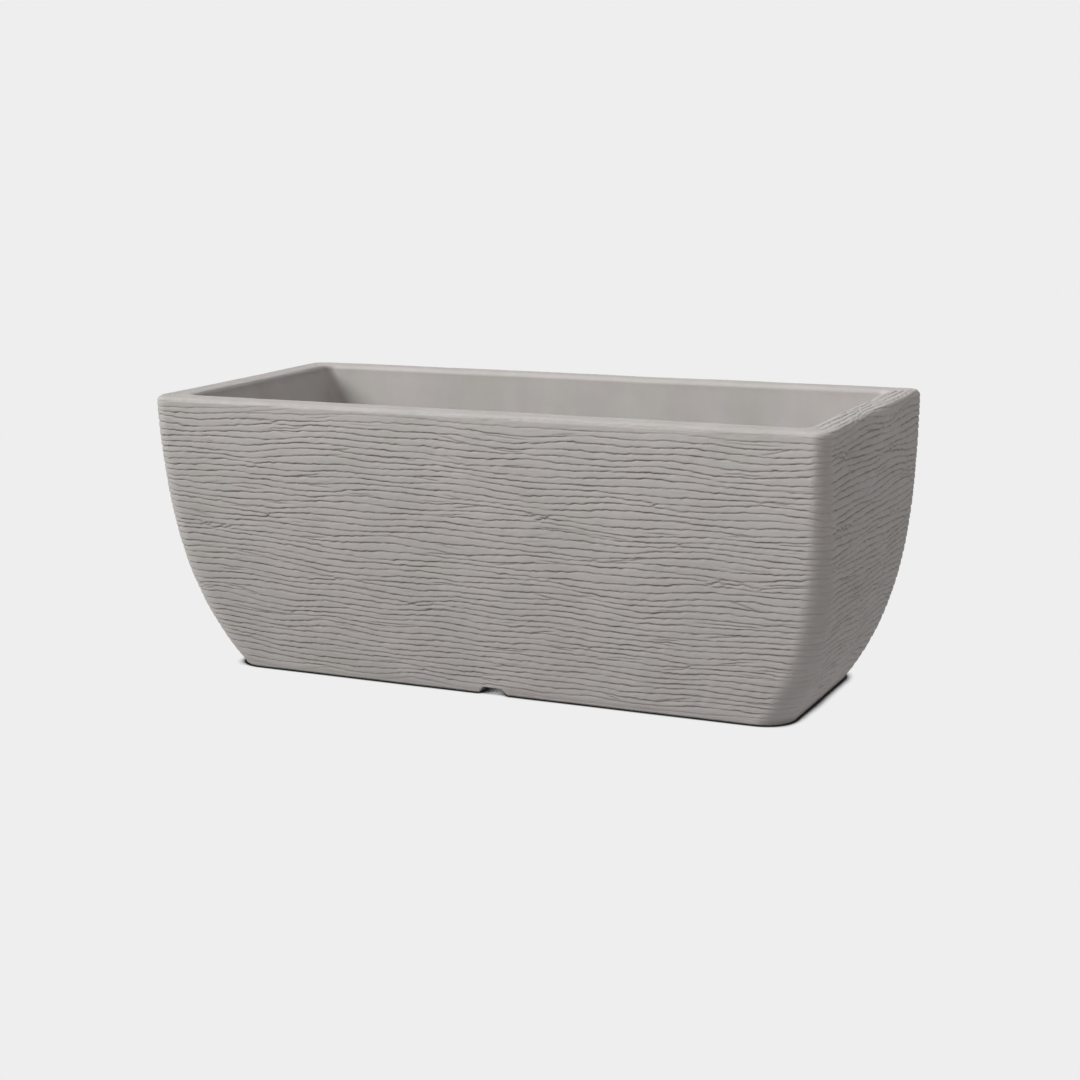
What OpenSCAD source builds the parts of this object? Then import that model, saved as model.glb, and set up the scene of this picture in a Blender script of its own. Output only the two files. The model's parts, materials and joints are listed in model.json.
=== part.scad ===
// Self watering trough planter: a double walled moulded tub with a water reservoir in its foot,
// two perforated platforms on legs that carry the soil above the water, wicking baskets that
// reach down into it, a fill tube with a hinged lid, a float gauge, an overflow and a drain plug.
// Millimetres, +Z up, +X along the length. The origin is on the ground under the middle.

/* [Tub] */
// Length over the rim
body_l = 700; // [690:2:710]
// Width over the rim
body_w = 322; // [316:2:332]
// Height of the rim above the ground
body_h = 284; // [280:1:290]
// Width of the rim, from its outer to its inner edge
rim_w = 27; // [25:1:28]
// Thickness of the moulded skin
skin = 5; // [4:0.5:5.5]
// How far each end comes in at the foot
end_inset = 53; // [48:1:55]
// How far each long side comes in at the foot
side_inset = 53; // [49:1:54]
// Power of the end wall's curve, higher keeps the wall upright for longer
end_curve = 3.8; // [3:0.1:5]
// Power of the long wall's curve
side_curve = 1.7; // [1.6:0.05:2.4]

/* [Reservoir] */
// Height of the platform's upper face above the ground
platform_z = 96; // [94:1:100]
// Height of the overflow's mouth, which sets the highest water level
overflow_z = 76; // [70:1:77]
// Outer diameter of the fill tube
fill_tube_d = 34; // [32:0.5:35]
// Outer diameter of the float gauge's tube
gauge_tube_d = 22; // [21:0.5:23]
// Diameter of a wicking basket under its flange
basket_d = 64; // [58:1:66]
// Width of a platform slot
slot_w = 2.6; // [2:0.2:3.2]
// How far the float rises from empty to full
float_travel = 42; // [38:1:44]

/* [Hidden] */
$fn = 64;
eps = 1; // overlap that joins two solids of one moulding

stone = [0.63, 0.60, 0.58];
black_plastic = [0.09, 0.09, 0.10];
rubber_black = [0.05, 0.05, 0.05];
clear_plastic = [0.85, 0.90, 0.92, 0.4];
foam_white = [0.93, 0.93, 0.90];
signal_red = [0.80, 0.10, 0.08];
steel = [0.75, 0.76, 0.78];

// Corner radii of the tub, seen from above.
rim_r = 16;
foot_r = 32;
liner_rim_r = 10;
liner_floor_r = 30;
// Edge radii of the tub, seen in section.
rim_outer_edge = 5;
rim_inner_edge = 5;
foot_edge = 3;
foot_w = 16;
floor_z = 16;      // upper face of the liner's floor
floor_t = 6;
floor_fillet = 10;
liner_floor_hx = 238;
liner_floor_hy = 100;
liner_rim_hx = body_l / 2 - rim_w;
liner_rim_hy = body_w / 2 - rim_w;
under_rim_t = 6;   // thickness of the rim above the hollow between the walls
arc_n = 8;         // straight pieces in a quarter turn of the plan

// Drain notches in the middle of each long side's foot.
notch_w = 36;
notch_top_w = 24;
notch_h = 7.5;
notch_r = 3;

// Floor fittings, on the centre line.
fitting_y = 45;
overflow_hole_r = 9.5;
drain_hole_r = 8;
standpipe_r = 8;
standpipe_bore_r = 6.9;

// Platforms.
platform_t = 3;
platform_rim_h = 8;
platform_gap = 1.5;
platform_play = 3;
rib_h = 7;
rib_t = 2;
slot_l = 16;
slot_pitch_x = 24;
slot_pitch_y = 12;
slot_land = 13;     // solid plate kept around a round feature, up to a slot's centre
platform_plate_z = platform_z - platform_t;
platform_hx = liner_hx(platform_plate_z) - platform_play;
platform_hy = liner_hy(platform_plate_z) - platform_play;
platform_r = 28;
basket_x = [78, 182];
leg_xy_left = [[-30, -78], [-30, 78], [-214, -78], [-214, 78]];
leg_xy_right = [[30, -78], [30, 78], [214, 78], [118, -78]];
finger_x = 130;
finger_ys = [-52, 52];
finger_l = 26;
finger_w = 16;
leg_r = 9;
leg_bore_r = 7;
socket_wall = 3;
socket_depth = 12;
slide_play = 0.2;  // radial play where one moulding drops into another

// Fill tube and float gauge, in the front right corner.
fill_xy = [212, -75];
gauge_xy = [166, -81];
tube_foot_z = floor_z + 2;
fill_tube_top = 250;
fill_wall = 2;
collar_top = 254;
collar_r = 21;
hinge_y = 25.5;    // from the fill tube's axis to the lid's hinge
hinge_z = 255.8;
pin_r = 1.5;
gauge_wall = 2;
gauge_tube_top = 250;
float_r = 7.8;
float_h = 26;
float_z = tube_foot_z + 3;
guide_z = float_z + float_h + float_travel + 0.3; // the float stops under the guide when full
guide_t = 2;
rod_r = 2;
rod_hole_r = 2.5;
rod_top = 254 - float_travel;
tip_r = 6;
tip_h = 6;
clip_z = 224;
clip_h = 8;

// ---- plan and section of the tub ----

function outer_hx(z) = body_l / 2 - end_inset * pow(1 - z / body_h, end_curve);
function outer_hy(z) = body_w / 2 - side_inset * pow(1 - z / body_h, side_curve);
function outer_r(z) = foot_r + (rim_r - foot_r) * z / body_h;
function liner_share(z) = (z - floor_z) / (body_h - floor_z);
function liner_hx(z) = liner_floor_hx + (liner_rim_hx - liner_floor_hx) * liner_share(z);
function liner_hy(z) = liner_floor_hy + (liner_rim_hy - liner_floor_hy) * liner_share(z);
function liner_r(z) = liner_floor_r + (liner_rim_r - liner_floor_r) * liner_share(z);

// A section point is [half length, half width, corner radius, height]. Both walls are
// drawn from their own surface, moved inwards by d.
function outer_at(z, d = 0, at_z = -1) =
    [outer_hx(z) - d, outer_hy(z) - d, outer_r(z) - d, at_z < 0 ? z : at_z];
function liner_at(z, d = 0, at_z = -1) =
    [liner_hx(z) - d, liner_hy(z) - d, liner_r(z) - d, at_z < 0 ? z : at_z];
function between(a, b, share) = a + (b - a) * share;

liner_low_z = floor_z + floor_fillet;
fillet_out = floor_fillet + skin;
fillet_drop = liner_low_z - (floor_z - floor_t);
hollow_arch = 10;
hollow_low = body_h - under_rim_t - hollow_arch;
quarter = [0 : 15 : 90];
outer_steps = 20;
hollow_steps = 14;

liner_outside = [for (a = quarter)
    liner_at(liner_low_z, fillet_out * (1 - sin(a)) - skin,
             liner_low_z - fillet_drop * cos(a))];
hollow_roof = [for (a = [0 : 30 : 180])
    let (p = between(liner_at(hollow_low, -skin), outer_at(hollow_low, skin), (1 - cos(a)) / 2))
    [p[0], p[1], p[2], hollow_low + hollow_arch * sin(a)]];
outer_inside = [for (i = [1 : hollow_steps])
    outer_at(between(hollow_low, skin, i / hollow_steps), skin)];
foot = [outer_at(0, foot_w, skin), outer_at(0, foot_w, 0), outer_at(0, foot_edge, 0),
        outer_at(foot_edge / 4, foot_edge / 3)];
outer_face = [for (i = [0 : outer_steps])
    let (share = i / outer_steps,
         z = foot_edge + (body_h - rim_outer_edge - foot_edge) * share)
    outer_at(z)];
rim = concat(
    [for (a = [18 : 18 : 90])
        outer_at(body_h - rim_outer_edge, rim_outer_edge * (1 - cos(a)),
                 body_h - rim_outer_edge * (1 - sin(a)))],
    [for (a = [0 : 22.5 : 90])
        liner_at(body_h - rim_inner_edge, -rim_inner_edge * (1 - sin(a)),
                 body_h - rim_inner_edge * (1 - cos(a)))]);
liner_inside = [for (a = quarter)
    liner_at(liner_low_z, floor_fillet * (1 - cos(a)),
             liner_low_z - floor_fillet * sin(a))];
tub_section = concat(liner_outside, hollow_roof, outer_inside, foot, outer_face, rim,
                     liner_inside);

// One turn of the plan: four corner arcs joined by straight sides.
function ring(p) = [for (corner = [0 : 3]) for (i = [0 : arc_n])
    let (a = 90 * corner + 90 * i / arc_n,
         sx = corner == 0 || corner == 3 ? 1 : -1,
         sy = corner < 2 ? 1 : -1)
    [sx * (p[0] - p[2]) + p[2] * cos(a), sy * (p[1] - p[2]) + p[2] * sin(a), p[3]]];

// A closed skin through a stack of rings, with a flat face at each end.
module loft(section) {
    n = 4 * (arc_n + 1);
    last = (len(section) - 1) * n;
    polyhedron(
        points = [for (p = section) each ring(p)],
        faces = concat(
            [[for (i = [0 : n - 1]) i]],
            [[for (i = [0 : n - 1]) last + n - 1 - i]],
            [for (k = [0 : len(section) - 2]) for (i = [0 : n - 1])
                let (a = k * n + i, b = k * n + (i + 1) % n) [a, a + n, b]],
            [for (k = [0 : len(section) - 2]) for (i = [0 : n - 1])
                let (a = k * n + i, b = k * n + (i + 1) % n) [b, a + n, b + n]]),
        convexity = 6);
}

// Two notches let the overflow run out from under the tub.
module drain_notch() {
    depth = foot_w + 14;
    low = 1;
    for (side = [-1, 1])
        translate([0, side * (outer_hy(0) - depth / 2 + 6), 0])
            rotate([90, 0, 0])
                linear_extrude(depth, center = true)
                    hull() {
                        for (sx = [-1, 1])
                            translate([sx * (notch_top_w / 2 - notch_r), notch_h - notch_r])
                                circle(notch_r, $fn = 32);
                        translate([-notch_w / 2, -low])
                            square([notch_w, low]);
                    }
}

// Skids under the floor carry the water's weight and leave a channel for the overflow.
module floor_skids() {
    skid_w = 14;
    skid_from = 62;
    skid_to = 206;
    for (sx = [-1, 1], sy = [-1, 1])
        translate([0, sy * 58, 0]) {
            translate([sx > 0 ? skid_from : -skid_to, -skid_w / 2, 0])
                cube([skid_to - skid_from, skid_w, floor_z - floor_t + eps]);
            for (x = [skid_from, skid_to])
                translate([sx * x, 0, 0])
                    cylinder(r = skid_w / 2, h = floor_z - floor_t + eps);
        }
}

module planter_body() {
    color(stone)
        difference() {
            union() {
                loft(tub_section);
                floor_skids();
            }
            drain_notch();
            translate([0, -fitting_y, 0])
                cylinder(r = overflow_hole_r, h = 40);
            translate([0, fitting_y, 0])
                cylinder(r = drain_hole_r, h = 40);
        }
}

// ---- overflow ----

module overflow_seal() {
    flange_r = overflow_hole_r + 3;
    flange_t = 2;
    bore_r = standpipe_r + 0.05;
    low = floor_z - floor_t;
    color(rubber_black)
        translate([0, -fitting_y, 0])
            rotate_extrude()
                polygon([[bore_r, low - flange_t], [flange_r - 1, low - flange_t],
                         [flange_r, low], [overflow_hole_r - 0.05, low],
                         [overflow_hole_r - 0.05, floor_z], [flange_r, floor_z],
                         [flange_r - 1, floor_z + flange_t], [bore_r, floor_z + flange_t]]);
}

module overflow_standpipe() {
    collar_r = 10;
    collar_z = floor_z + 2.2;
    color(black_plastic)
        translate([0, -fitting_y, 0])
            difference() {
                union() {
                    translate([0, 0, 6])
                        cylinder(r = standpipe_r, h = overflow_z - 6);
                    translate([0, 0, collar_z])
                        cylinder(r = collar_r, h = 2);
                }
                translate([0, 0, -eps])
                    cylinder(r = standpipe_bore_r, h = overflow_z + 2 * eps);
            }
}

// A slotted cap that keeps roots and grit out of the standpipe.
module overflow_strainer() {
    cap_r = 11;
    wall = 1.8;
    grip_h = 5;
    low = overflow_z - 14;
    high = overflow_z + 7;
    windows = 8;
    window_w = 3;
    window_h = 11;
    color(black_plastic)
        translate([0, -fitting_y, 0])
            difference() {
                translate([0, 0, low])
                    cylinder(r = cap_r, h = high - low);
                translate([0, 0, low - eps])
                    cylinder(r = standpipe_r + 0.15, h = grip_h + 2 * eps);
                translate([0, 0, low + grip_h])
                    cylinder(r = cap_r - wall, h = high - low - grip_h - wall);
                for (i = [0 : windows / 2 - 1])
                    rotate(i * 360 / windows)
                        translate([0, 0, low + grip_h + 1 + window_h / 2])
                            cube([3 * cap_r, window_w, window_h], center = true);
            }
}

// ---- drain plug ----

module drain_plug() {
    shank_r = drain_hole_r - 0.2;
    head_r = 13;
    head_z = floor_z + 2;
    head_t = 3;
    loop_r = 9;
    loop_wire = 1.8;
    color(black_plastic)
        translate([0, fitting_y, 0]) {
            rotate_extrude()
                polygon([[0, floor_z - 7], [shank_r - 1.5, floor_z - 7], [shank_r, floor_z - 4],
                         [shank_r, head_z], [head_r, head_z], [head_r, head_z + head_t - 1],
                         [head_r - 1, head_z + head_t], [0, head_z + head_t]]);
            translate([0, 0, head_z + head_t - 0.5])
                rotate([90, 0, 0])
                    rotate_extrude(angle = 180)
                        translate([loop_r, 0])
                            circle(loop_wire, $fn = 24);
        }
}

module drain_plug_seal() {
    color(rubber_black)
        translate([0, fitting_y, floor_z + 1])
            rotate_extrude()
                translate([drain_hole_r + 1.4, 0])
                    circle(0.95, $fn = 24);
}

// ---- soil platforms ----

// A rectangle with true round corners.
module rounded_rect(hx, hy, r) {
    square([2 * (hx - r), 2 * hy], center = true);
    square([2 * hx, 2 * (hy - r)], center = true);
    for (sx = [-1, 1], sy = [-1, 1])
        translate([sx * (hx - r), sy * (hy - r)])
            circle(r);
}

// Half of the platforms' outline, taken in by d at the tub's walls and at the middle.
module platform_outline(side, d = 0) {
    intersection() {
        rounded_rect(platform_hx - d, platform_hy - d, platform_r - d);
        translate([side > 0 ? platform_gap / 2 + d : -platform_hx, -platform_hy])
            square([platform_hx - platform_gap / 2 - d, 2 * platform_hy]);
    }
}

function tube_holes(side) = side > 0
    ? [[fill_xy, fill_tube_d / 2 + slide_play], [gauge_xy, gauge_tube_d / 2 + slide_play]]
    : [];
function basket_centres(side) = [for (x = basket_x) [side * x, 0]];
function leg_centres(side) = side > 0 ? leg_xy_right : leg_xy_left;

// Round features of a platform, each with the radius that its slots keep clear of.
function round_features(side) = concat(
    [for (c = basket_centres(side)) [c, basket_d / 2 + slot_land]],
    [for (c = leg_centres(side)) [c, leg_r + slot_land]],
    [for (t = tube_holes(side)) [t[0], t[1] + slot_land]],
    [for (y = finger_ys) [[side * finger_x, y], finger_l / 2 + slot_land]],
    [[[side * (platform_hx - platform_r), -platform_hy], platform_r],
     [[side * (platform_hx - platform_r), platform_hy], platform_r]]);
function slot_is_clear(p, side) =
    abs(p[0]) < platform_hx - slot_l && abs(p[1]) < platform_hy - slot_l / 2
    && min([for (f = round_features(side)) norm(p - f[0]) - f[1]]) > 0;
function slot_centres(side) = [
    for (i = [0 : 10]) for (j = [-8 : 8])
        let (p = [side * (slot_l + i * slot_pitch_x), j * slot_pitch_y])
        if (slot_is_clear(p, side)) p];

module slots(side) {
    for (p = slot_centres(side))
        translate(p)
            square([slot_l, slot_w], center = true);
}

module finger_holes(side) {
    for (y = finger_ys)
        translate([side * finger_x, y]) {
            square([finger_l - finger_w, finger_w], center = true);
            for (sx = [-1, 1])
                translate([sx * (finger_l - finger_w) / 2, 0])
                    circle(finger_w / 2);
        }
}

// Everything that goes right through the plate and its ribs.
module round_holes(side, extra = 0) {
    for (c = basket_centres(side))
        translate(c)
            circle(basket_d / 2 + 1 + extra);
    for (t = tube_holes(side))
        translate(t[0])
            circle(t[1] + extra);
}

module platform_ribs(side) {
    difference() {
        union() {
            difference() {
                platform_outline(side);
                platform_outline(side, rib_t);
            }
            intersection() {
                platform_outline(side);
                union() {
                    for (row = [-6.5, -3.5, 3.5, 6.5])
                        translate([side * platform_hx / 2, row * slot_pitch_y])
                            square([platform_hx, rib_t], center = true);
                    for (column = [0.5, 3.5, 5.5, 8.5])
                        translate([side * (slot_l + column * slot_pitch_x), 0])
                            square([rib_t, 2 * platform_hy], center = true);
                }
            }
            round_holes(side, rib_t);
        }
        round_holes(side);
        finger_holes(side);
        for (c = leg_centres(side))
            translate(c)
                circle(leg_r + slide_play);
    }
}

module soil_platform(side) {
    color(black_plastic)
        union() {
            translate([0, 0, platform_plate_z])
                linear_extrude(platform_t)
                    difference() {
                        platform_outline(side);
                        round_holes(side);
                        slots(side);
                        finger_holes(side);
                    }
            translate([0, 0, platform_plate_z])
                linear_extrude(platform_t + platform_rim_h)
                    difference() {
                        platform_outline(side);
                        platform_outline(side, 2.4);
                    }
            translate([0, 0, platform_plate_z - rib_h])
                linear_extrude(rib_h + eps)
                    platform_ribs(side);
            for (c = leg_centres(side))
                translate([c[0], c[1], platform_plate_z - socket_depth])
                    linear_extrude(socket_depth + eps)
                        difference() {
                            circle(leg_r + slide_play + socket_wall);
                            circle(leg_r + slide_play);
                        }
            for (t = tube_holes(side))
                translate([t[0][0], t[0][1], platform_plate_z])
                    linear_extrude(platform_t + platform_rim_h)
                        difference() {
                            circle(t[1] + 2.4);
                            circle(t[1]);
                        }
        }
}

// A hollow leg that plugs into a socket under the platform and stands on the floor.
module platform_leg(at) {
    foot_r = 13;
    foot_t = 3;
    vent_w = 5;
    vent_h = 9;
    low = floor_z + 0.3;
    color(black_plastic)
        translate([at[0], at[1], low])
            difference() {
                union() {
                    cylinder(r = leg_r, h = platform_plate_z - low - 0.3);
                    cylinder(r = foot_r, h = foot_t);
                }
                translate([0, 0, foot_t])
                    cylinder(r = leg_bore_r, h = platform_plate_z);
                for (i = [0, 1])
                    rotate(90 * i)
                        translate([0, 0, foot_t + 8])
                            cube([2 * foot_r, vent_w, vent_h], center = true);
            }
}

// A slotted cup that hangs through the platform. Soil packed into it draws the water up.
module wick_basket(x) {
    top_r = basket_d / 2;
    low_r = top_r - 8;
    wall = 2;
    low = floor_z + 2;
    flange_w = 4.5;
    flange_z = platform_z + 0.1;
    windows = 12;
    window_w = 4;
    window_h = 20;
    window_rows = [low + 18, low + 46];
    floor_holes = 6;
    color(black_plastic)
        translate([x, 0, 0])
            difference() {
                rotate_extrude()
                    polygon([[0, low], [low_r, low], [top_r, flange_z], [top_r + flange_w, flange_z],
                             [top_r + flange_w, flange_z + wall], [top_r - wall, flange_z + wall],
                             [low_r - wall, low + wall], [0, low + wall]]);
                for (i = [0 : windows / 2 - 1], z = window_rows)
                    rotate(i * 360 / windows)
                        translate([0, 0, z])
                            cube([3 * top_r, window_w, window_h], center = true);
                for (i = [0 : floor_holes - 1])
                    rotate(i * 360 / floor_holes)
                        translate([low_r * 0.55, 0, low - eps])
                            cylinder(r = 2.5, h = wall + 2 * eps);
            }
}

// ---- fill tube ----

module at_fill() {
    translate([fill_xy[0], fill_xy[1], 0])
        children();
}

module fill_tube() {
    r = fill_tube_d / 2;
    color(black_plastic)
        at_fill()
            difference() {
                translate([0, 0, tube_foot_z])
                    cylinder(r = r, h = fill_tube_top - tube_foot_z);
                translate([0, 0, tube_foot_z - eps])
                    cylinder(r = r - fill_wall, h = fill_tube_top);
                for (i = [0, 1])
                    rotate(45 + 90 * i)
                        translate([0, 0, tube_foot_z + 6])
                            cube([2 * r + 2, 10, 16], center = true);
            }
}

// A ring that caps the tube's end and carries the lid's hinge.
module fill_collar() {
    r = fill_tube_d / 2;
    skirt_r = r + 2.5;
    skirt_h = 14;
    collar_t = 3;
    lug_r = 3.4;
    lug_t = 3.5;
    lug_x = 5.4;
    color(black_plastic)
        at_fill() {
            rotate_extrude()
                polygon([[r + 0.15, fill_tube_top - skirt_h], [skirt_r, fill_tube_top - skirt_h],
                         [skirt_r, collar_top - collar_t - 1], [collar_r, collar_top - collar_t],
                         [collar_r, collar_top], [r - fill_wall, collar_top],
                         [r - fill_wall, fill_tube_top + 0.2], [r + 0.15, fill_tube_top + 0.2]]);
            for (sx = [-1, 1])
                difference() {
                    translate([sx * (lug_x + lug_t / 2) - lug_t / 2, 0, 0])
                        rotate([90, 0, 90])
                            linear_extrude(lug_t) {
                                translate([hinge_y, hinge_z])
                                    circle(lug_r);
                                translate([hinge_y - lug_r, collar_top - collar_t])
                                    square([2 * lug_r, hinge_z - collar_top + collar_t]);
                                translate([collar_r - 4, collar_top - collar_t])
                                    square([hinge_y - collar_r + 4, collar_t]);
                            }
                    translate([-20, hinge_y, hinge_z])
                        rotate([0, 90, 0])
                            cylinder(r = pin_r + 0.02, h = 40);
                }
        }
}

module fill_lid() {
    lid_t = 2.6;
    low = collar_top + 0.3;
    knuckle_x = 5.1;
    knuckle_r = 3;
    color(black_plastic)
        at_fill()
            difference() {
                union() {
                    rotate_extrude()
                        polygon([[0, low], [collar_r - 0.6, low], [collar_r, low + 0.6],
                                 [collar_r, low + lid_t - 1], [collar_r - 1, low + lid_t],
                                 [0, low + lid_t + 0.8]]);
                    translate([-knuckle_x, collar_r - 4, low])
                        cube([2 * knuckle_x, hinge_y - collar_r + 4, lid_t]);
                    translate([-knuckle_x, hinge_y, hinge_z])
                        rotate([0, 90, 0])
                            cylinder(r = knuckle_r, h = 2 * knuckle_x);
                    translate([-7, -collar_r - 4, low])
                        cube([14, 8, lid_t]);
                }
                translate([-20, hinge_y, hinge_z])
                    rotate([0, 90, 0])
                        cylinder(r = pin_r + 0.06, h = 40);
            }
}

module fill_lid_pin() {
    pin_l = 18.6;
    color(steel)
        at_fill()
            translate([-pin_l / 2, hinge_y, hinge_z])
                rotate([0, 90, 0])
                    cylinder(r = pin_r, h = pin_l);
}

// ---- float gauge ----

module at_gauge() {
    translate([gauge_xy[0], gauge_xy[1], 0])
        children();
}

module gauge_tube() {
    r = gauge_tube_d / 2;
    color(black_plastic)
        at_gauge()
            difference() {
                translate([0, 0, tube_foot_z])
                    cylinder(r = r, h = gauge_tube_top - tube_foot_z);
                translate([0, 0, tube_foot_z - eps])
                    cylinder(r = 5, h = 2 * eps + 2);
                translate([0, 0, tube_foot_z + 2])
                    cylinder(r = r - gauge_wall, h = guide_z - tube_foot_z - 2);
                translate([0, 0, guide_z - eps])
                    cylinder(r = rod_hole_r, h = guide_t + 2 * eps);
                translate([0, 0, guide_z + guide_t])
                    cylinder(r = r - gauge_wall, h = gauge_tube_top);
                for (z = [tube_foot_z + 14, tube_foot_z + 50])
                    translate([0, 0, z])
                        cube([2 * r + 2, 4, 20], center = true);
            }
}

// A clear cap, through which the red tip shows.
module gauge_cap() {
    r = gauge_tube_d / 2;
    wall = 1.6;
    low = gauge_tube_top - 10;
    shoulder = gauge_tube_top + 4;
    high = 260;
    color(clear_plastic)
        at_gauge()
            rotate_extrude()
                polygon([[r + 0.15, low], [r + 0.15 + wall, low], [r + 0.15 + wall, shoulder],
                         [r - 2, high - 1.2], [r - 4.5, high], [0, high], [0, high - wall],
                         [r - 5, high - wall], [r - 3, high - wall - 1], [r + 0.15, shoulder - 0.8]]);
}

module gauge_float() {
    color(foam_white)
        at_gauge()
            rotate_extrude()
                polygon([[rod_r + 0.03, float_z], [float_r - 1.5, float_z], [float_r, float_z + 1.5],
                         [float_r, float_z + float_h - 1.5], [float_r - 1.5, float_z + float_h],
                         [rod_r + 0.03, float_z + float_h]]);
}

module gauge_rod() {
    color(foam_white)
        at_gauge()
            translate([0, 0, float_z])
                cylinder(r = rod_r, h = rod_top - float_z);
}

module gauge_tip() {
    color(signal_red)
        at_gauge()
            rotate_extrude()
                polygon([[rod_r + 0.03, rod_top - tip_h], [tip_r, rod_top - tip_h], [tip_r, rod_top],
                         [tip_r - 2, rod_top + 2], [0, rod_top + 2], [0, rod_top + 0.05],
                         [rod_r + 0.03, rod_top + 0.05]]);
}

// A double snap ring that holds the gauge upright beside the fill tube.
module tube_clip() {
    band = 2.4;
    fill_r = fill_tube_d / 2 + 0.15;
    gauge_r = gauge_tube_d / 2 + 0.15;
    span = gauge_xy - fill_xy;
    along = atan2(span[1], span[0]);
    color(black_plastic)
        translate([fill_xy[0], fill_xy[1], clip_z])
            rotate(along)
                linear_extrude(clip_h)
                    difference() {
                        union() {
                            circle(fill_r + band);
                            translate([norm(span), 0])
                                circle(gauge_r + band);
                            translate([fill_r, -3])
                                square([norm(span) - fill_r - gauge_r, 6]);
                        }
                        circle(fill_r);
                        translate([norm(span), 0])
                            circle(gauge_r);
                        translate([-fill_r - 2 * band, -8])
                            square([fill_r, 16]);
                        translate([norm(span) + gauge_r - 5, -5])
                            square([gauge_r, 10]);
                    }
}

planter_body();
overflow_seal();
overflow_standpipe();
overflow_strainer();
drain_plug();
drain_plug_seal();
soil_platform(-1);  // soil_platform_left
soil_platform(1);  // soil_platform_right
for (i = [0 : 3])
    wick_basket([-basket_x[1], -basket_x[0], basket_x[0], basket_x[1]][i]);
for (i = [0 : 7])
    platform_leg(i < 4 ? leg_xy_left[i] : leg_xy_right[i - 4]);
fill_tube();
fill_collar();
fill_lid();
fill_lid_pin();
gauge_tube();
gauge_cap();
gauge_float();
gauge_rod();
gauge_tip();
tube_clip();
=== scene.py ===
"""Looks of the self watering trough planter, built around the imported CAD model.

The tub's plain CAD shell is replaced by the same double wall with its layered stone relief as
real geometry. Every other CAD piece keeps its shape and gets a procedural material.
"""
import json
import math

import bmesh
import bpy
import numpy as np
from mathutils import Matrix, Vector


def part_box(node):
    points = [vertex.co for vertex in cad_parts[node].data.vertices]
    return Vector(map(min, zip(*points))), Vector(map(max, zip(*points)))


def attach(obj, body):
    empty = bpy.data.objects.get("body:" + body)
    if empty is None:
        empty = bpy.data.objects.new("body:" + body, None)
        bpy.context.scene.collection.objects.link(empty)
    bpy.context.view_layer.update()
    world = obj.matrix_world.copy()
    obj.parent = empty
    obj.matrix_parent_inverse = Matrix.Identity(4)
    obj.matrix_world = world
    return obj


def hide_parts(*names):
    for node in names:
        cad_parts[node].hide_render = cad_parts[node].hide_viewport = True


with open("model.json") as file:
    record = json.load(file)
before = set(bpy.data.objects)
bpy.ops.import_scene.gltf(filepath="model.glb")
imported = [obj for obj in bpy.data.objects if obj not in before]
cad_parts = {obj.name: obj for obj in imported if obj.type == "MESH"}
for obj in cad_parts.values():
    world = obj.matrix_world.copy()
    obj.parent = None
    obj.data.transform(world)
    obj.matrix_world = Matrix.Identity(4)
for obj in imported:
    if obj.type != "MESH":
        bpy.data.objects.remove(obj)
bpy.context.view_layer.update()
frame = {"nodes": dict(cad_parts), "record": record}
rng = np.random.default_rng(20)

# ---- sizes, in metres: the tub's box comes from the frame, the rest repeats its section ----

TUB_LOW, TUB_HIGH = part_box("planter_body")
LENGTH = TUB_HIGH.x - TUB_LOW.x
WIDTH = TUB_HIGH.y - TUB_LOW.y
HEIGHT = TUB_HIGH.z - TUB_LOW.z
RIM_W = 0.027
SKIN = 0.005
END_INSET = 0.053
SIDE_INSET = 0.053
END_CURVE = 3.8
SIDE_CURVE = 1.7
RIM_R = 0.016
FOOT_R = 0.032
LINER_RIM_R = 0.010
LINER_FLOOR_R = 0.030
RIM_OUTER_EDGE = 0.005
RIM_INNER_EDGE = 0.005
FOOT_EDGE = 0.003
FOOT_W = 0.016
FLOOR_Z = 0.016
FLOOR_T = 0.006
FLOOR_FILLET = 0.010
LINER_FLOOR_HX = 0.238
LINER_FLOOR_HY = 0.100
UNDER_RIM_T = 0.006
HOLLOW_ARCH = 0.010
NOTCH_W = 0.036
NOTCH_TOP_W = 0.024
NOTCH_H = 0.0075
NOTCH_CORNER_R = 0.003
FITTING_Y = 0.045
OVERFLOW_HOLE_R = 0.0095
DRAIN_HOLE_R = 0.008
SKID_W = 0.014
SKID_Y = 0.058
SKID_FROM = 0.062
SKID_TO = 0.206

# ---- where the plain parts of the section have their rows ----

FLOOR_RINGS = (0.02, 0.05, 0.085)   # how far in from the floor's edge
FLOOR_RING_MIN_R = 0.004
LINER_ROW = 0.006
LINER_BACK_ROW = 0.02
SKIN_BACK_ROW = 0.01
INNER_EDGE_TURN = 0.14              # radians between rows round the rim's inner edge

# ---- the relief ----

ROW = 0.00055             # one row of vertices this often up the outside
COLUMN = 0.0024           # and one column this often along the sides
CORNER_COLUMNS = 24       # columns round each vertical corner
GROOVE_PITCH = 0.0061
GROOVE_DEPTH = 0.0017
LIP = 0.00036             # how fast a groove closes above its line
LEDGE = 0.0008            # and below it
LEDGE_SHARE = 0.55        # how much of a groove's depth the ledge takes up
APRON = 0.0034            # the long flank under the ledge
JOIN_GAP = 0.0017         # grooves closer than this run together
PART_GAP = 0.0034         # and wider than this they keep their own course
FLANK_REACH = 0.010       # how far below its line a groove is felt
LIP_REACH = 0.003         # and above it
PROUD = 0.30              # how far a layer's face stands out, as a share of a groove's depth
SWELL = 0.00045           # how far the whole side wanders in and out
FOOT_FADE = 0.009         # over how much height the grooves grow in above the foot's edge
RIM_FADE_BELOW = 0.018    # how far below the top they begin to fade
RIM_FADE = 0.014          # and over how much height
INNER_FADE = 0.010        # over what distance they end at the rim's inner edge


# ---- the tub: plan, section and relief ----

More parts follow.
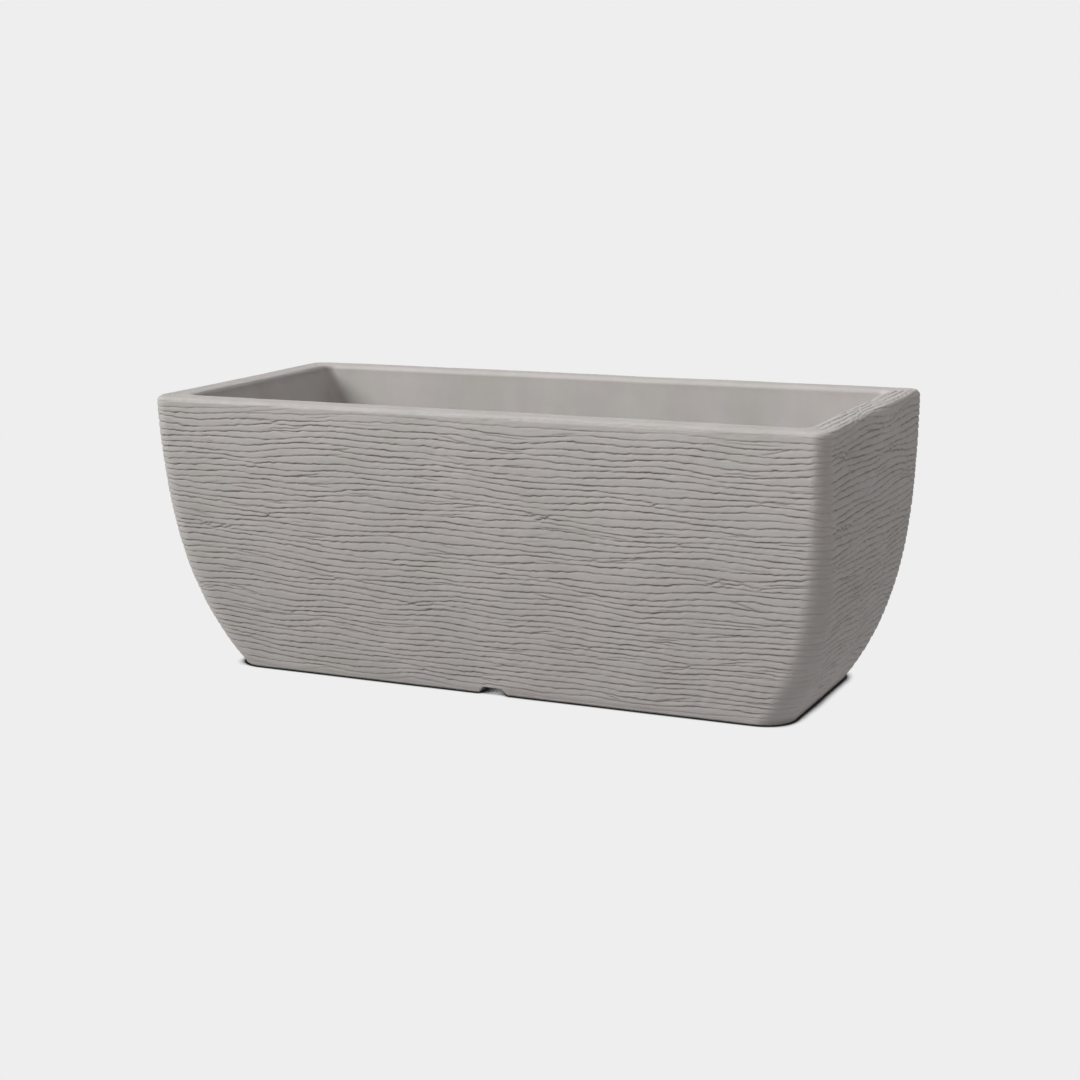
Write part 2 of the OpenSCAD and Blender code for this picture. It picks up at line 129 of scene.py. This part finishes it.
def outer_at(z, inward=0.0, at_z=None):
    """The outside at height z: half length, half width, corner radius and height. inward moves it
    into the wall, and at_z puts it at another height."""
    up = z / HEIGHT
    return (LENGTH / 2 - END_INSET * (1 - up) ** END_CURVE - inward,
            WIDTH / 2 - SIDE_INSET * (1 - up) ** SIDE_CURVE - inward,
            FOOT_R + (RIM_R - FOOT_R) * up - inward,
            z if at_z is None else at_z)


def liner_at(z, inward=0.0, at_z=None):
    """The liner's inside face, in the same form."""
    up = (z - FLOOR_Z) / (HEIGHT - FLOOR_Z)
    rim_hx = LENGTH / 2 - RIM_W
    rim_hy = WIDTH / 2 - RIM_W
    return (LINER_FLOOR_HX + (rim_hx - LINER_FLOOR_HX) * up - inward,
            LINER_FLOOR_HY + (rim_hy - LINER_FLOOR_HY) * up - inward,
            LINER_FLOOR_R + (LINER_RIM_R - LINER_FLOOR_R) * up - inward,
            z if at_z is None else at_z)


def between(a, b, share):
    """The point of the section that share of the way from a to b."""
    return tuple(p + (q - p) * share for p, q in zip(a, b))


def drawn_in(section_point, inward):
    """The same point of the section, level and nearer the middle of the floor."""
    hx, hy, r, z = section_point
    return hx - inward, hy - inward, max(r - inward, FLOOR_RING_MIN_R), z


def steps(first, last, size):
    """Evenly spaced values from first to last, about size apart."""
    return np.linspace(first, last, max(2, round(abs(last - first) / size) + 1))


def plan_columns():
    """Every column of the plan: the share of each half side it stands at, and its outward direction."""
    half_x = LENGTH / 2 - RIM_R
    half_y = WIDTH / 2 - RIM_R
    columns = []
    for corner in range(4):
        start = math.pi / 2 * corner
        sx = (1, -1, -1, 1)[corner]
        sy = (1, 1, -1, -1)[corner]
        for angle in np.linspace(start, start + math.pi / 2, CORNER_COLUMNS, endpoint=False):
            columns.append((sx, sy, math.cos(angle), math.sin(angle)))
        end = start + math.pi / 2
        along = half_x if corner % 2 == 0 else half_y
        for t in steps(1, -1, COLUMN / along)[:-1]:
            share = (sx * t, sy) if corner % 2 == 0 else (sx, sy * t)
            columns.append((*share, round(math.cos(end)), round(math.sin(end))))
    return np.array(columns).T


PLAN = plan_columns()


def ring(section_point):
    """The plan's outline at one point of the section."""
    hx, hy, r, z = section_point
    sx, sy, ux, uy = PLAN
    return np.stack([sx * (hx - r) + r * ux, sy * (hy - r) + r * uy, np.full(len(sx), z)], axis=1)


def girth():
    """Distance round the tub of each column, at mid height, and the whole way round."""
    line = ring(outer_at(HEIGHT / 2))
    leg = np.linalg.norm(np.roll(line, -1, axis=0) - line, axis=1)
    return np.concatenate([[0], np.cumsum(leg)[:-1]]), float(leg.sum())


def tub_section():
    """Points of the section from under the floor round to its top, with the height up the relief
    of each, or -1 where the skin is plain."""
    low = FLOOR_Z + FLOOR_FILLET
    drop = low - (FLOOR_Z - FLOOR_T)
    out = FLOOR_FILLET + SKIN
    hollow_low = HEIGHT - UNDER_RIM_T - HOLLOW_ARCH
    under = liner_at(low, out - SKIN, low - drop)
    plain = [drawn_in(under, inward) for inward in FLOOR_RINGS[::-1]]
    for a in np.radians(np.arange(0, 91, 11.25)):
        plain.append(liner_at(low, out * (1 - math.sin(a)) - SKIN, low - drop * math.cos(a)))
    for z in steps(low, hollow_low, LINER_BACK_ROW)[1:-1]:
        plain.append(liner_at(z, -SKIN))
    for a in np.radians(np.arange(0, 181, 15)):
        p = between(liner_at(hollow_low, -SKIN), outer_at(hollow_low, SKIN), (1 - math.cos(a)) / 2)
        plain.append((*p[:3], hollow_low + HOLLOW_ARCH * math.sin(a)))
    for z in steps(hollow_low, SKIN, SKIN_BACK_ROW)[1:]:
        plain.append(outer_at(z, SKIN))
    plain.append(outer_at(0, FOOT_W, SKIN))
    plain.append(outer_at(0, FOOT_W, 0))
    plain.append(outer_at(0, FOOT_EDGE, 0))
    carved = []
    for a in np.radians(np.arange(15, 90, 15)):
        edge = outer_at(FOOT_EDGE, FOOT_EDGE * (1 - math.sin(a)), FOOT_EDGE * (1 - math.cos(a)))
        carved.append((edge, 0.0))
    top = HEIGHT - RIM_OUTER_EDGE
    for z in steps(FOOT_EDGE, top, ROW):
        carved.append((outer_at(z), z))
    for a in steps(0, math.pi / 2, ROW / RIM_OUTER_EDGE)[1:]:
        edge = outer_at(top, RIM_OUTER_EDGE * (1 - math.cos(a)), top + RIM_OUTER_EDGE * math.sin(a))
        carved.append((edge, top + RIM_OUTER_EDGE * a))
    reach = top + RIM_OUTER_EDGE * math.pi / 2
    crest = outer_at(top, RIM_OUTER_EDGE, HEIGHT)
    inner_low = HEIGHT - RIM_INNER_EDGE
    brink = liner_at(inner_low, -RIM_INNER_EDGE, HEIGHT)
    span = crest[0] - brink[0]
    for share in steps(0, 1, ROW / span)[1:]:
        carved.append((between(crest, brink, share), reach + span * share))
    reach += span
    for a in steps(0, math.pi / 2, INNER_EDGE_TURN)[1:]:
        edge = liner_at(inner_low, -RIM_INNER_EDGE * (1 - math.sin(a)),
                        inner_low + RIM_INNER_EDGE * math.cos(a))
        carved.append((edge, reach + RIM_INNER_EDGE * a))
    inside = [liner_at(z) for z in steps(inner_low, low, LINER_ROW)[1:]]
    for a in np.radians(np.arange(9, 91, 9)):
        inside.append(liner_at(low, FLOOR_FILLET * (1 - math.cos(a)), low - FLOOR_FILLET * math.sin(a)))
    edge = inside[-1]
    inside += [drawn_in(edge, inward) for inward in FLOOR_RINGS]
    points = plain + [p for p, _ in carved] + inside
    heights = [-1.0] * len(plain) + [h for _, h in carved] + [-1.0] * len(inside)
    return points, np.array(heights)


def wander(count, along, around, longest, shortest, kin=0.0):
    """Smooth random curves that close on themselves after going round, one row each, with unit
    spread. kin is how many neighbouring rows share a curve's course."""
    waves = np.arange(math.ceil(around / longest), math.floor(around / shortest) + 1)
    strength = 1 / np.sqrt(waves)
    a = rng.standard_normal((count, len(waves))) * strength
    b = rng.standard_normal((count, len(waves))) * strength
    if kin > 0:
        away = np.arange(count)[:, None] - np.arange(count)[None, :]
        share = np.exp(-0.5 * (away / kin) ** 2)
        share /= np.sqrt((share ** 2).sum(axis=1, keepdims=True))
        a, b = share @ a, share @ b
    turns = 2 * math.pi * waves[:, None] * along[None, :] / around
    curves = a @ np.cos(turns) + b @ np.sin(turns)
    return curves / curves.std()


def groove_lines(along, around, top):
    """Height and depth of every groove at every column: long main grooves, which draw together
    where they pass close, and short ones that leave one main groove and join the next."""
    count = round(top / GROOVE_PITCH) + 4
    rest = (np.arange(count) - 1.2) * GROOVE_PITCH
    lines = (rest[:, None]
             + 0.0020 * wander(count, along, around, 1.00, 0.36, kin=5)
             + 0.0014 * wander(count, along, around, 0.45, 0.11, kin=0.9)
             + 0.00026 * wander(count, along, around, 0.10, 0.03)
             + 0.00024 * wander(count, along, around, 0.03, 0.006))
    for _ in range(2):
        gap = np.diff(lines, axis=0)
        pull = np.clip((PART_GAP - gap) / (PART_GAP - JOIN_GAP), 0, 1) * gap / 2
        lines[:-1] += pull
        lines[1:] -= pull
    lines = np.maximum.accumulate(lines, axis=0)
    depth = np.clip(0.88 + 0.15 * wander(count, along, around, 0.30, 0.04)
                    + 0.10 * wander(count, along, around, 0.03, 0.01), 0.3, 1.25)
    share = np.clip(0.5 + 0.55 * wander(count - 1, along, around, 0.60, 0.14), 0, 1)
    short = lines[:-1] + share * np.diff(lines, axis=0)
    short_depth = np.clip(0.60 * wander(count - 1, along, around, 0.25, 0.06) - 0.10, 0, 0.8)
    return np.concatenate([lines, short]), np.concatenate([depth, short_depth])


def relief(heights, along, around):
    """How deep the skin is sunk at every point of the carved rows, from 0 on a layer's face to
    about 1 in a groove."""
    lines, depth = groove_lines(along, around, heights.max())
    sunk = np.zeros((len(heights), len(along)))
    for line, deep in zip(lines, depth):
        reach = (heights > line.min() - FLANK_REACH) & (heights < line.max() + LIP_REACH)
        off = heights[reach, None] - line[None, :]
        above = np.exp(-np.maximum(off, 0) / LIP)
        drop = np.minimum(off, 0)
        below = LEDGE_SHARE * np.exp(drop / LEDGE) + (1 - LEDGE_SHARE) * np.exp(drop / APRON)
        sunk[reach] = np.maximum(sunk[reach], deep[None, :] * np.where(off > 0, above, below))
    return sunk


def relief_strength(heights):
    """How much of the relief is kept at every point. It fades on the vertical corners, most on the
    front right one, at the foot and over the rim."""
    _, _, ux, uy = PLAN
    front_right = (ux > 0) & (uy < 0)
    corner = np.clip(1.6 * np.abs(2 * ux * uy), 0, 1) * np.where(front_right, 0.55, 0.15)
    foot = np.clip((heights - FOOT_EDGE) / FOOT_FADE, 0.1, 1)
    over_rim = np.clip((heights - HEIGHT + RIM_FADE_BELOW) / RIM_FADE, 0, 1)
    kept = 0.28 + 0.40 * np.abs(ux)
    inner = np.clip((heights.max() - heights) / INNER_FADE, 0, 1)
    strength = foot[:, None] * (1 - corner[None, :])
    strength *= 1 - over_rim[:, None] * (1 - kept[None, :])
    return strength * inner[:, None]


def surface_normals(grid):
    """Outward normals of a grid of points that closes round its columns."""
    round_way = np.roll(grid, -1, axis=1) - np.roll(grid, 1, axis=1)
    up_way = np.gradient(grid, axis=0)
    normal = np.cross(round_way, up_way)
    return normal / np.linalg.norm(normal, axis=2, keepdims=True)


def add_object(name, data):
    obj = bpy.data.objects.new(name, data)
    bpy.context.collection.objects.link(obj)
    return obj


def grid_object(name, grid):
    """A closed shell through a stack of rings, with a flat face at each end."""
    rows, cols, _ = grid.shape
    index = np.arange(rows * cols).reshape(rows, cols)
    here, there = index[:-1], index[1:]
    quads = np.stack([here, np.roll(here, -1, axis=1), np.roll(there, -1, axis=1), there], axis=2)
    quads = quads.reshape(-1, 4)
    mesh = bpy.data.meshes.new(name)
    mesh.vertices.add(rows * cols)
    mesh.vertices.foreach_set("co", grid.reshape(-1).astype(np.float32))
    loops = np.concatenate([quads.reshape(-1), index[0][::-1], index[-1]])
    starts = np.concatenate([np.arange(len(quads)) * 4, [len(quads) * 4, len(quads) * 4 + cols]])
    mesh.loops.add(len(loops))
    mesh.loops.foreach_set("vertex_index", loops.astype(np.int32))
    mesh.polygons.add(len(starts))
    mesh.polygons.foreach_set("loop_start", starts.astype(np.int32))
    mesh.update(calc_edges=True)
    mesh.validate()
    return add_object(name, mesh)


def prism(bm, outline, low, high, turn):
    """A closed prism from an outline in a plane, turned and placed by the matrix turn."""
    bottom = [bm.verts.new(turn @ Vector((x, y, low))) for x, y in outline]
    top = [bm.verts.new(turn @ Vector((x, y, high))) for x, y in outline]
    bm.faces.new(bottom[::-1])
    bm.faces.new(top)
    n = len(outline)
    for i in range(n):
        bm.faces.new((bottom[i], bottom[(i + 1) % n], top[(i + 1) % n], top[i]))


def tub_cutter():
    """The two drain notches and the two floor holes, as closed solids."""
    bm = bmesh.new()
    r = NOTCH_CORNER_R
    below = -0.002
    outline = [(-NOTCH_W / 2, below), (NOTCH_W / 2, below)]
    for side in (1, -1):
        arc = [(side * (NOTCH_TOP_W / 2 - r + r * math.cos(a)), NOTCH_H - r + r * math.sin(a))
               for a in np.radians(np.linspace(20, 90, 8))]
        outline += arc if side == 1 else arc[::-1]
    middle = WIDTH / 2 - SIDE_INSET - 0.009
    reach = 0.015
    for side in (-1, 1):
        turn = Matrix.Translation((0, side * middle, 0)) @ Matrix.Rotation(math.pi / 2, 4, "X")
        prism(bm, outline, -reach, reach, turn)
    for y, radius in ((-FITTING_Y, OVERFLOW_HOLE_R), (FITTING_Y, DRAIN_HOLE_R)):
        circle = [(radius * math.cos(a), y + radius * math.sin(a))
                  for a in np.linspace(0, 2 * math.pi, 64, False)]
        prism(bm, circle, -0.001, 0.040, Matrix.Identity(4))
    mesh = bpy.data.meshes.new("cutter")
    bm.to_mesh(mesh)
    bm.free()
    return add_object("cutter", mesh)


def cut(obj, cutter):
    """Cuts one object by another and keeps the result in the first one's mesh."""
    boolean = obj.modifiers.new("cut", "BOOLEAN")
    boolean.operation = "DIFFERENCE"
    boolean.object = cutter
    boolean.solver = "MANIFOLD"
    depsgraph = bpy.context.evaluated_depsgraph_get()
    shape = bpy.data.meshes.new_from_object(obj.evaluated_get(depsgraph))
    obj.modifiers.clear()
    old = obj.data
    obj.data = shape
    obj.data.name = obj.name
    bpy.data.meshes.remove(old)
    bpy.data.objects.remove(cutter)


def add_skids(tub):
    """The four pads under the floor, let into it a little."""
    bm = bmesh.new()
    bm.from_mesh(tub.data)
    r = SKID_W / 2
    top = FLOOR_Z - FLOOR_T + 0.001
    for sx in (-1, 1):
        for sy in (-1, 1):
            ends = [(SKID_TO, a) for a in np.linspace(-math.pi / 2, math.pi / 2, 17)]
            ends += [(SKID_FROM, a) for a in np.linspace(math.pi / 2, 3 * math.pi / 2, 17)]
            outline = [(sx * (x + r * math.cos(a)), sy * SKID_Y + r * math.sin(a)) for x, a in ends]
            prism(bm, outline[::sx], 0.0, top, Matrix.Identity(4))
    bm.to_mesh(tub.data)
    bm.free()


def make_tub():
    """The double wall, with its grooves, notches, floor holes and skids."""
    points, heights = tub_section()
    grid = np.stack([ring(p) for p in points])
    carved = np.flatnonzero(heights >= 0)
    first, last = carved[0], carved[-1] + 1
    along, around = girth()
    strength = relief_strength(heights[first:last])
    sunk = relief(heights[first:last], along, around) * strength
    normals = surface_normals(grid[first - 1:last + 1])[1:-1]
    swell = SWELL * wander(1, along, around, 0.9, 0.12)[0] * strength
    move = GROOVE_DEPTH * (PROUD * strength - sunk) + swell
    grid[first:last] += normals * move[:, :, None]
    tub = grid_object("tub", grid)
    depth = np.zeros(grid.shape[:2], np.float32)
    depth[first:last] = sunk
    outside = np.zeros(grid.shape[:2], np.float32)
    outside[first:last] = np.clip((heights.max() - heights[first:last]) / 0.012, 0, 1)[:, None]
    # sunk is the grooves' depth; the tub's material also darkens its colour by it as painted shade.
    for name, values in (("sunk", depth), ("outside", outside)):
        attribute = tub.data.attributes.new(name, "FLOAT", "POINT")
        attribute.data.foreach_set("value", values.reshape(-1))
    tub.data.polygons.foreach_set("use_smooth", np.ones(len(tub.data.polygons), bool))
    cut(tub, tub_cutter())
    add_skids(tub)
    return tub


# ---- materials ----

class Nodes:
    """A node material under construction."""

    def __init__(self, name):
        self.material = bpy.data.materials.new(name)
        self.material.use_nodes = True
        self.tree = self.material.node_tree
        self.shader = self.tree.nodes["Principled BSDF"]
        self.place = self.add("ShaderNodeTexCoord").outputs["Object"]

    def add(self, kind, **settings):
        node = self.tree.nodes.new(kind)
        for key, value in settings.items():
            setattr(node, key, value)
        return node

    def feed(self, socket, value):
        if isinstance(value, bpy.types.NodeSocket):
            self.tree.links.new(value, socket)
        else:
            socket.default_value = value

    def stretched(self, scale):
        node = self.add("ShaderNodeMapping")
        self.feed(node.inputs["Vector"], self.place)
        node.inputs["Scale"].default_value = scale
        return node.outputs["Vector"]

    def noise(self, scale, detail=4.0, rough=0.55, where=None, warp=0.0):
        node = self.add("ShaderNodeTexNoise")
        self.feed(node.inputs["Vector"], self.place if where is None else where)
        node.inputs["Scale"].default_value = scale
        node.inputs["Detail"].default_value = detail
        node.inputs["Roughness"].default_value = rough
        node.inputs["Distortion"].default_value = warp
        return node.outputs["Fac"]

    def ramp(self, value, *stops):
        node = self.add("ShaderNodeValToRGB")
        self.feed(node.inputs["Fac"], value)
        ramp = node.color_ramp
        while len(ramp.elements) < len(stops):
            ramp.elements.new(0.5)
        for element, (at, color) in zip(ramp.elements, stops):
            element.position = at
            element.color = (*color, 1) if len(color) == 3 else color
        return node.outputs["Color"]

    def span(self, value, low, high, start=0.3, end=0.7):
        """Maps a noise value to a range of numbers."""
        node = self.add("ShaderNodeMapRange")
        self.feed(node.inputs["Value"], value)
        node.inputs["From Min"].default_value = start
        node.inputs["From Max"].default_value = end
        node.inputs["To Min"].default_value = low
        node.inputs["To Max"].default_value = high
        return node.outputs["Result"]

    def math(self, operation, a, b):
        node = self.add("ShaderNodeMath", operation=operation)
        self.feed(node.inputs[0], a)
        self.feed(node.inputs[1], b)
        return node.outputs["Value"]

    def blend(self, share, a, b):
        """From number a to number b by share."""
        node = self.add("ShaderNodeMix")
        for socket, value in zip((0, 2, 3), (share, a, b)):
            self.feed(node.inputs[socket], value)
        return node.outputs[0]

    def combine(self, operation, a, b):
        """Joins two colours channel by channel."""
        node = self.add("ShaderNodeVectorMath", operation=operation)
        self.feed(node.inputs[0], a)
        self.feed(node.inputs[1], b)
        return node.outputs["Vector"]

    def tint(self, color, value):
        """Multiplies a colour by a number."""
        node = self.add("ShaderNodeVectorMath", operation="SCALE")
        self.feed(node.inputs[0], color)
        self.feed(node.inputs["Scale"], value)
        return node.outputs["Vector"]

    def openness(self, distance):
        """How clear a spot is of anything within a distance, from 0 to 1."""
        node = self.add("ShaderNodeAmbientOcclusion", samples=16)
        node.inputs["Distance"].default_value = distance
        return node.outputs["AO"]

    def bump(self, height, distance, below=None):
        node = self.add("ShaderNodeBump")
        node.inputs["Strength"].default_value = 1.0
        node.inputs["Distance"].default_value = distance
        self.feed(node.inputs["Height"], height)
        if below is not None:
            self.feed(node.inputs["Normal"], below)
        return node.outputs["Normal"]

    def finish(self, color, roughness, normal=None, **inputs):
        self.feed(self.shader.inputs["Base Color"], color)
        self.feed(self.shader.inputs["Roughness"], roughness)
        if normal is not None:
            self.feed(self.shader.inputs["Normal"], normal)
        for name, value in inputs.items():
            self.shader.inputs[name.replace("_", " ")].default_value = value
        return self.material


def stone_plastic():
    """Warm grey moulded plastic: soft blotches, streaks along its layers, painted shade in its grooves
    and a plain, softly mottled liner, lifted as painted light for the dim inside."""
    n = Nodes("stone_plastic")
    blotch = n.noise(9.0, detail=3.0, warp=0.6)
    color = n.ramp(blotch, (0.30, (0.345, 0.338, 0.318)), (0.47, (0.362, 0.345, 0.336)),
                   (0.60, (0.372, 0.347, 0.342)), (0.74, (0.350, 0.341, 0.330)))
    outside = n.add("ShaderNodeAttribute", attribute_name="outside").outputs["Fac"]
    sunk = n.add("ShaderNodeAttribute", attribute_name="sunk").outputs["Fac"]
    streak = n.span(n.noise(55.0, detail=5.0, rough=0.62, where=n.stretched((1, 1, 9))), 0.935, 1.06)
    # The liner's mottling is its own tone, but its lift above the outside's tone is painted light for
    # the dim inside.
    liner_tone_and_painted_light = n.span(n.noise(16.0, detail=3.0, where=n.stretched((1, 1, 0.15))), 1.04, 1.16)
    shade = n.math("MULTIPLY", n.blend(outside, liner_tone_and_painted_light, streak), n.span(n.noise(30.0), 0.965, 1.035))
    shade = n.math("MULTIPLY", shade, n.span(n.noise(1400.0, detail=2.0), 0.97, 1.03))
    # Painted shade: the grooves' colour darkens with their depth, standing in for the shadow under each
    # layer.
    groove_shade = n.ramp(sunk, (0.10, (1, 1, 1)), (0.45, (0.93, 0.92, 0.91)), (0.92, (0.50, 0.46, 0.43)))
    color = n.tint(n.combine("MULTIPLY", color, groove_shade), n.math("MULTIPLY", shade, 1.05))
    rough = n.span(n.noise(160.0, detail=3.0), 0.52, 0.68)
    scratch = n.noise(300.0, detail=3.0, where=n.stretched((0.35, 0.35, 1.6)))
    coarse = n.bump(n.math("MULTIPLY", scratch, outside), 0.00022)
    fine = n.bump(n.noise(2200.0, detail=2.0), 0.00003, below=coarse)
    return n.finish(color, rough, fine, Specular_IOR_Level=0.38)


def moulded_black(name, value, roughness, pits, depth):
    """Black plastic with a spark-eroded grain and faint dust."""
    n = Nodes(name)
    dust = n.noise(26.0, detail=5.0, rough=0.65)
    color = n.ramp(dust, (0.35, (value, value, value * 1.06)),
                   (0.62, (value * 1.35, value * 1.35, value * 1.36)),
                   (0.80, (value * 2.1, value * 2.05, value * 1.9)))
    rough = n.span(n.noise(70.0, detail=4.0), roughness - 0.06, roughness + 0.10)
    grain = n.bump(n.noise(pits, detail=2.0), depth)
    return n.finish(color, rough, grain, Specular_IOR_Level=0.45)


def tube_black():
    """Extruded black plastic with faint lines along its length."""
    n = Nodes("tube_black")
    lines = n.noise(420.0, detail=3.0, where=n.stretched((1, 1, 0.02)))
    color = n.ramp(lines, (0.3, (0.026, 0.027, 0.029)), (0.7, (0.036, 0.037, 0.039)))
    rough = n.span(n.noise(60.0, detail=4.0), 0.30, 0.44)
    return n.finish(color, rough, n.bump(lines, 0.00004), Specular_IOR_Level=0.5)


def seal_rubber():
    n = Nodes("seal_rubber")
    bloom = n.noise(220.0, detail=4.0)
    color = n.ramp(bloom, (0.35, (0.016, 0.016, 0.017)), (0.75, (0.034, 0.033, 0.032)))
    rough = n.span(n.noise(120.0), 0.70, 0.88)
    return n.finish(color, rough, n.bump(n.noise(1800.0), 0.00003), Specular_IOR_Level=0.35)


def pin_steel():
    n = Nodes("pin_steel")
    draw = n.noise(900.0, detail=3.0, where=n.stretched((0.03, 1, 1)))
    color = n.ramp(draw, (0.3, (0.50, 0.50, 0.52)), (0.7, (0.66, 0.66, 0.68)))
    return n.finish(color, n.span(draw, 0.22, 0.38), n.bump(draw, 0.00001), Metallic=1.0)


def clear_plastic():
    n = Nodes("clear_plastic")
    haze = n.noise(180.0, detail=4.0)
    color = n.ramp(haze, (0.3, (0.93, 0.95, 0.96)), (0.8, (0.86, 0.89, 0.90)))
    rough = n.span(haze, 0.03, 0.12)
    return n.finish(color, rough, n.bump(n.noise(400.0), 0.00002), Transmission_Weight=1.0, IOR=1.49)


def float_foam():
    """Closed-cell foam: fine beads pressed together, slightly yellowed."""
    n = Nodes("float_foam")
    cells = n.add("ShaderNodeTexVoronoi")
    n.feed(cells.inputs["Vector"], n.place)
    cells.inputs["Scale"].default_value = 620.0
    age = n.noise(90.0, detail=4.0)
    color = n.ramp(age, (0.3, (0.80, 0.79, 0.74)), (0.75, (0.72, 0.69, 0.60)))
    return n.finish(color, n.span(age, 0.62, 0.80), n.bump(cells.outputs["Distance"], 0.00018))


def signal_red():
    n = Nodes("signal_red")
    cloud = n.noise(260.0, detail=3.0)
    color = n.ramp(cloud, (0.3, (0.52, 0.016, 0.012)), (0.75, (0.66, 0.030, 0.020)))
    return n.finish(color, n.span(cloud, 0.22, 0.34), n.bump(cloud, 0.00002))


def dress(material, *nodes):
    """Gives carried-over CAD pieces their material."""
    for name in nodes:
        obj = frame["nodes"][name]
        if not obj.material_slots:
            obj.data.materials.append(material)
        for slot in obj.material_slots:
            slot.link = "OBJECT"
            slot.material = material


def nodes_in(slot):
    """Names of the CAD pieces whose record slot this is."""
    return [s["node"] for s in frame["record"]["subparts"] if s["material_slot"] == slot]


# ---- build ----

tub = make_tub()
tub.data.materials.clear()
tub.data.materials.append(stone_plastic())
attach(tub, "tub")
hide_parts("planter_body")

dress(moulded_black("tray_black", 0.030, 0.50, 1500.0, 0.00006), *nodes_in("tray_plastic"))
dress(moulded_black("trim_black", 0.034, 0.36, 2200.0, 0.00003), *nodes_in("trim_plastic"))
dress(tube_black(), *nodes_in("tube_plastic"))
dress(seal_rubber(), *nodes_in("seal_rubber"))
dress(pin_steel(), *nodes_in("pin_steel"))
dress(clear_plastic(), *nodes_in("clear_cap"))
dress(float_foam(), *nodes_in("float_plastic"))
dress(signal_red(), *nodes_in("red_plastic"))


# ---- camera, floor and light ----

BACKDROP = (0.855, 0.855, 0.855)


def make_camera():
    """The photograph's view: from the right of the front, a little above."""
    data = bpy.data.cameras.new("camera")
    data.sensor_width = 36.0
    data.lens = 66.94
    camera = add_object("camera", data)
    camera.location = (0.8431, -1.8030, 0.5435)
    yaw = Matrix.Rotation(0.4366, 4, "Z")
    tilt = Matrix.Rotation(math.pi / 2 - 0.2031, 4, "X")
    roll = Matrix.Rotation(-0.0111, 4, "Z")
    camera.rotation_euler = (yaw @ tilt @ roll).to_euler()
    bpy.context.scene.camera = camera


def make_floor():
    """Evenly lit white paper with a painted shadow, dark only right beside and under what stands on it.
    """
    size = 30.0
    mesh = bpy.data.meshes.new("floor")
    mesh.from_pydata([(-size, -size, 0), (size, -size, 0), (size, size, 0), (-size, size, 0)], [],
                     [(0, 1, 2, 3)])
    floor = add_object("floor", mesh)
    n = Nodes("floor_paper_painted_shadow")
    shadow_black = (0.010, 0.009, 0.009)
    # Painted shadow: ambient occlusion darkens the paper's glow to a thin contact line beside the tub
    # and a dark patch under it.
    near = n.openness(0.005)
    beneath = n.openness(0.02)
    line = n.ramp(near, (0.45, shadow_black), (0.62, (0.10, 0.095, 0.09)), (0.85, BACKDROP))
    paper_with_painted_shadow = n.combine("MINIMUM", line, n.ramp(beneath, (0.30, shadow_black), (0.48, BACKDROP)))
    seen = n.add("ShaderNodeLightPath").outputs["Is Camera Ray"]
    emitted_paper_and_painted_shadow = n.tint(paper_with_painted_shadow, n.span(seen, 0.62, 1.0, start=0.0, end=1.0))
    n.feed(n.shader.inputs["Emission Color"], emitted_paper_and_painted_shadow)
    paper = n.finish((0, 0, 0, 1), 1.0, Specular_IOR_Level=0.0, Emission_Strength=1.0)
    floor.data.materials.append(paper)


def make_sun():
    """One large soft sun from the left front."""
    data = bpy.data.lights.new("sun", "SUN")
    data.energy = 3.1
    data.angle = math.radians(30)
    data.color = (1.0, 0.99, 0.975)
    sun = add_object("sun", data)
    sun.rotation_euler = Vector((-0.64, -0.50, 0.58)).to_track_quat("Z", "Y").to_euler()


def make_sky():
    """A sky that is brightest overhead and dim and warm to the right. The camera itself sees the
    plain backdrop."""
    world = bpy.data.worlds.new("studio")
    bpy.context.scene.world = world
    world.use_nodes = True
    nodes, links = world.node_tree.nodes, world.node_tree.links
    nodes.clear()
    direction = nodes.new("ShaderNodeTexCoord").outputs["Generated"]
    split = nodes.new("ShaderNodeSeparateXYZ")
    links.new(direction, split.inputs[0])
    toward = nodes.new("ShaderNodeVectorMath")
    toward.operation = "DOT_PRODUCT"
    toward.inputs[1].default_value = (0.87, -0.50, -0.60)
    links.new(direction, toward.inputs[0])
    blend = nodes.new("ShaderNodeVectorMath")
    blend.operation = "MULTIPLY"
    overhead = ((0.0, (0.38, 0.375, 0.37, 1)), (0.9, (0.86, 0.86, 0.87, 1)))
    sideways = ((0.0, (1.0, 1.0, 1.0, 1)), (0.8, (0.44, 0.35, 0.28, 1)))
    measures = (split.outputs["Z"], toward.outputs["Value"])
    for measure, stops, socket in zip(measures, (overhead, sideways), blend.inputs):
        ramp = nodes.new("ShaderNodeValToRGB")
        for element, (at, color) in zip(ramp.color_ramp.elements, stops):
            element.position = at
            element.color = color
        links.new(measure, ramp.inputs["Fac"])
        links.new(ramp.outputs["Color"], socket)
    sky = nodes.new("ShaderNodeBackground")
    links.new(blend.outputs["Vector"], sky.inputs["Color"])
    backdrop = nodes.new("ShaderNodeBackground")
    backdrop.inputs["Color"].default_value = (*BACKDROP, 1)
    mix = nodes.new("ShaderNodeMixShader")
    links.new(nodes.new("ShaderNodeLightPath").outputs["Is Camera Ray"], mix.inputs[0])
    links.new(sky.outputs[0], mix.inputs[1])
    links.new(backdrop.outputs[0], mix.inputs[2])
    links.new(mix.outputs[0], nodes.new("ShaderNodeOutputWorld").inputs["Surface"])


make_camera()
make_floor()
make_sun()
make_sky()
bpy.context.scene.view_settings.view_transform = "Standard"
